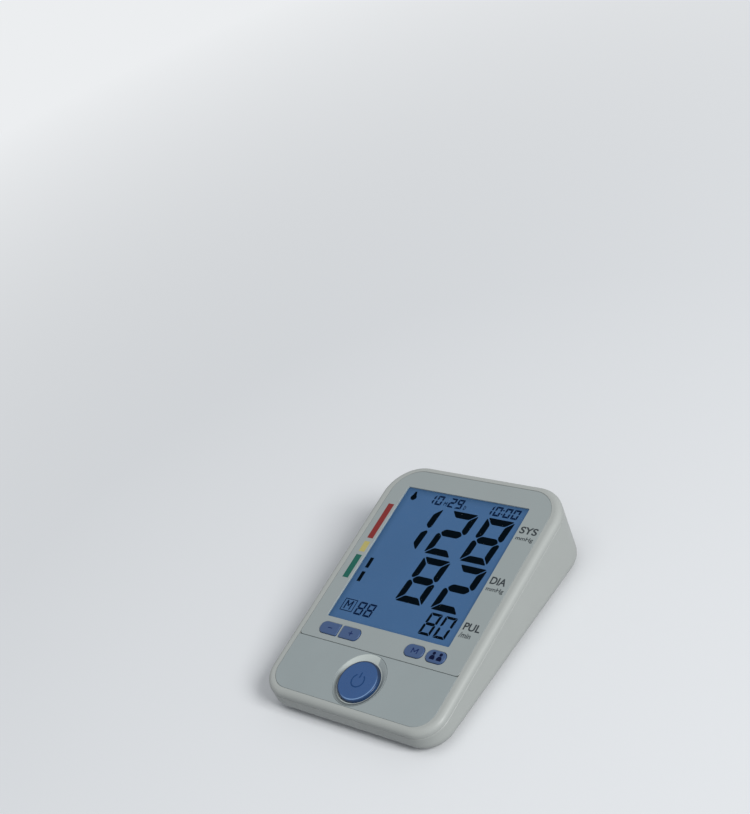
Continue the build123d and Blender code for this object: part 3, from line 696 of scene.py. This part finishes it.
plates("standby_mark",
       ring_shapes(0, START_SLOPE, 3.2, 3.85, 125, 415, 40)
       + [box_shape(-0.33, 0.33, START_SLOPE + 1.5, START_SLOPE + 4.6)],
       START_PROUD - INK_SUNK, START_PROUD + INK, start_ink, "start_button")


# ---- floor, light and camera ----
BACKDROP = linear(236, 238, 240)
FLOOR_SEEN = linear(230, 232, 234)
FLOOR_BOUNCE = linear(166, 169, 173)
FLOOR_FADE = (300.0, 1000.0)  # millimetres, radii between which it runs out into the backdrop
FLOOR_HALF = 6.0  # metres
LAMP_AIM = Vector((0, 0, 0.01))  # metres


def floor_finish():
    """Floor that looks pale, throws little light back up and runs out into the backdrop."""
    tree = Tree("floor_finish")
    rays = tree.add("LightPath")
    looked_at = tree.math("MAXIMUM", rays.outputs["Is Camera Ray"], rays.outputs["Is Glossy Ray"])
    tree.join(tree.blend(looked_at, FLOOR_BOUNCE, FLOOR_SEEN), tree.shader.inputs["Base Color"])
    tree.shader.inputs["Roughness"].default_value = 0.8
    tree.shader.inputs["Specular IOR Level"].default_value = 0.0
    axes = tree.add("SeparateXYZ")
    tree.join(tree.place(), axes.inputs[0])
    far = tree.rise(tree.length(axes.outputs["X"], axes.outputs["Y"]), *FLOOR_FADE)
    haze = tree.add("Emission")
    haze.inputs["Color"].default_value = BACKDROP
    mix = tree.add("MixShader")
    tree.join(tree.math("MULTIPLY", far, looked_at), mix.inputs[0])
    tree.join(tree.shader.outputs[0], mix.inputs[1])
    tree.join(haze.outputs[0], mix.inputs[2])
    tree.join(mix.outputs[0], tree.output.inputs["Surface"])
    return tree.material


floor_mesh = bpy.data.meshes.new("floor")
floor_corners = box_shape(-FLOOR_HALF, FLOOR_HALF, -FLOOR_HALF, FLOOR_HALF)
floor_mesh.from_pydata([(x, y, 0) for x, y in floor_corners], [], [(0, 1, 2, 3)])
floor_mesh.materials.append(floor_finish())
floor = bpy.data.objects.new("floor", floor_mesh)
bpy.context.scene.collection.objects.link(floor)


def area_lamp(name, place, power, size):
    """Square lamp that faces the object. Place and size are in metres, power is in watts."""
    lamp = bpy.data.lights.new(name, "AREA")
    lamp.energy = power
    lamp.shape = "SQUARE"
    lamp.size = size
    holder = bpy.data.objects.new(name, lamp)
    holder.location = place
    holder.rotation_euler = (LAMP_AIM - Vector(place)).to_track_quat("-Z", "Y").to_euler()
    bpy.context.scene.collection.objects.link(holder)


area_lamp("key_lamp", (2.3, -0.15, 1.62), 63, 1.0)
area_lamp("top_lamp", (-0.1, -0.1, 1.0), 1.0, 0.5)

# The sky lights the scene. Camera, transmission and glossy rays see the backdrop in its place.
world = bpy.data.worlds.new("studio")
bpy.context.scene.world = world
world.use_nodes = True
nodes = world.node_tree.nodes
join = world.node_tree.links.new
sky = nodes["Background"]
sky.inputs["Color"].default_value = (0.93, 0.96, 1.0, 1.0)
sky.inputs["Strength"].default_value = 0.40
backdrop = nodes.new("ShaderNodeBackground")
backdrop.inputs["Color"].default_value = BACKDROP
rays = nodes.new("ShaderNodeLightPath")
straight = nodes.new("ShaderNodeMath")
straight.operation = "MAXIMUM"
join(rays.outputs["Is Camera Ray"], straight.inputs[0])
join(rays.outputs["Is Transmission Ray"], straight.inputs[1])
shown = nodes.new("ShaderNodeMath")
shown.operation = "MAXIMUM"
join(straight.outputs[0], shown.inputs[0])
join(rays.outputs["Is Glossy Ray"], shown.inputs[1])
seen = nodes.new("ShaderNodeMixShader")
join(shown.outputs[0], seen.inputs[0])
join(sky.outputs[0], seen.inputs[1])
join(backdrop.outputs[0], seen.inputs[2])
join(seen.outputs[0], nodes["World Output"].inputs["Surface"])

# The camera is tilted sideways, so the way to its right is given besides its line of sight.
CAMERA_PLACE = (0.4700, -0.3708, 0.5110)
CAMERA_FORWARD = Vector((-0.6464, 0.5431, -0.5359))
CAMERA_RIGHT = Vector((0.7550, 0.5566, -0.3467))
CAMERA_LENS = 69.3
SENSOR_WIDTH = 36.0
backward = -CAMERA_FORWARD.normalized()
sideways = (CAMERA_RIGHT - CAMERA_RIGHT.dot(backward) * backward).normalized()
upward = backward.cross(sideways)
camera_data = bpy.data.cameras.new("camera")
camera_data.sensor_width = SENSOR_WIDTH
camera_data.lens = CAMERA_LENS
camera = bpy.data.objects.new("camera", camera_data)
camera.matrix_world = Matrix.Translation(CAMERA_PLACE) @ Matrix(
    (sideways, upward, backward)).transposed().to_4x4()
bpy.context.scene.collection.objects.link(camera)
bpy.context.scene.camera = camera
bpy.context.scene.view_settings.view_transform = "Standard"
